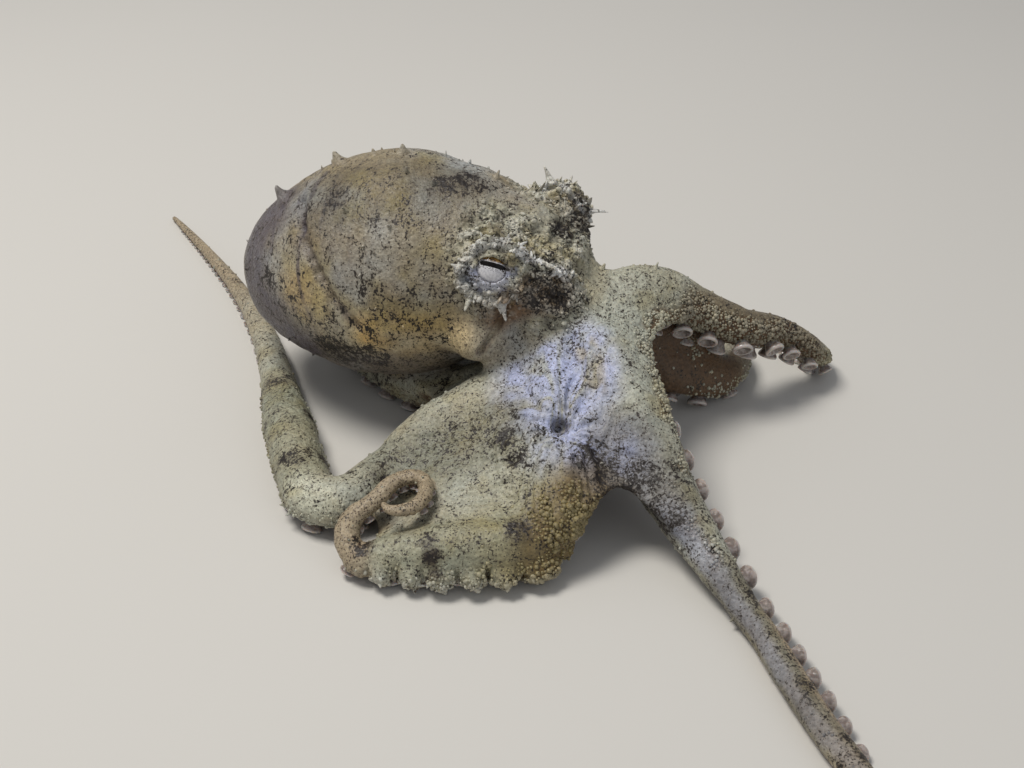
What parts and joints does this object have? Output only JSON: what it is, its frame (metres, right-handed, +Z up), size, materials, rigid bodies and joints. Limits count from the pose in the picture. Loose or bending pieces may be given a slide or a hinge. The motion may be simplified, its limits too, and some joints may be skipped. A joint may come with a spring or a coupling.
{
  "type": "octopus",
  "caption": "Small warty octopus resting on its spread arms with its head up, one arm reaching forward and another curled, as a still life-size model.",
  "frame": {"origin": "centre of the footprint's bounding box, on the plane the arms rest on", "axes": "+Z up; +Y from the outstretched front right arm towards the arms behind; +X towards the animal's front left, so that its right side faces -Y"},
  "size_m": [0.108, 0.1408, 0.0339],
  "materials": {
    "skin": "damp, granular, mottled grey-green skin with fine dark speckles",
    "web": "thin, pale, bluish, finely speckled skin",
    "eye": "wet and glossy, gold-brown with a dark slit"
  },
  "bodies": {
    "root": {"arm_L1_base": "skin", "arm_L1_middle": "skin", "arm_L1_outer": "skin", "arm_L2_base": "skin", "arm_L2_middle": "skin", "arm_L2_outer": "skin", "arm_L3_base": "skin", "arm_L3_middle": "skin", "arm_L3_outer": "skin", "arm_L4_base": "skin", "arm_L4_middle": "skin", "arm_L4_outer": "skin", "arm_R1_base": "skin", "arm_R1_middle": "skin", "arm_R1_outer": "skin", "arm_R1_tip": "skin", "arm_R2_base": "skin", "arm_R2_middle": "skin", "arm_R2_outer": "skin", "arm_R3_base": "skin", "arm_R3_middle": "skin", "arm_R3_outer": "skin", "arm_R3_tip": "skin", "arm_R4_base": "skin", "arm_R4_middle": "skin", "arm_R4_outer": "skin", "crown": "skin", "eye_left": "eye", "eye_right": "eye", "funnel": "web", "head": "skin", "mantle": "skin", "web_L2_L1": "web", "web_L3_L2": "web", "web_L4_L3": "web", "web_R1_L1": "web", "web_R1_R2": "web", "web_R2_R3": "web", "web_R3_R4": "web", "web_R4_L4": "web"}
  },
  "joints": []
}
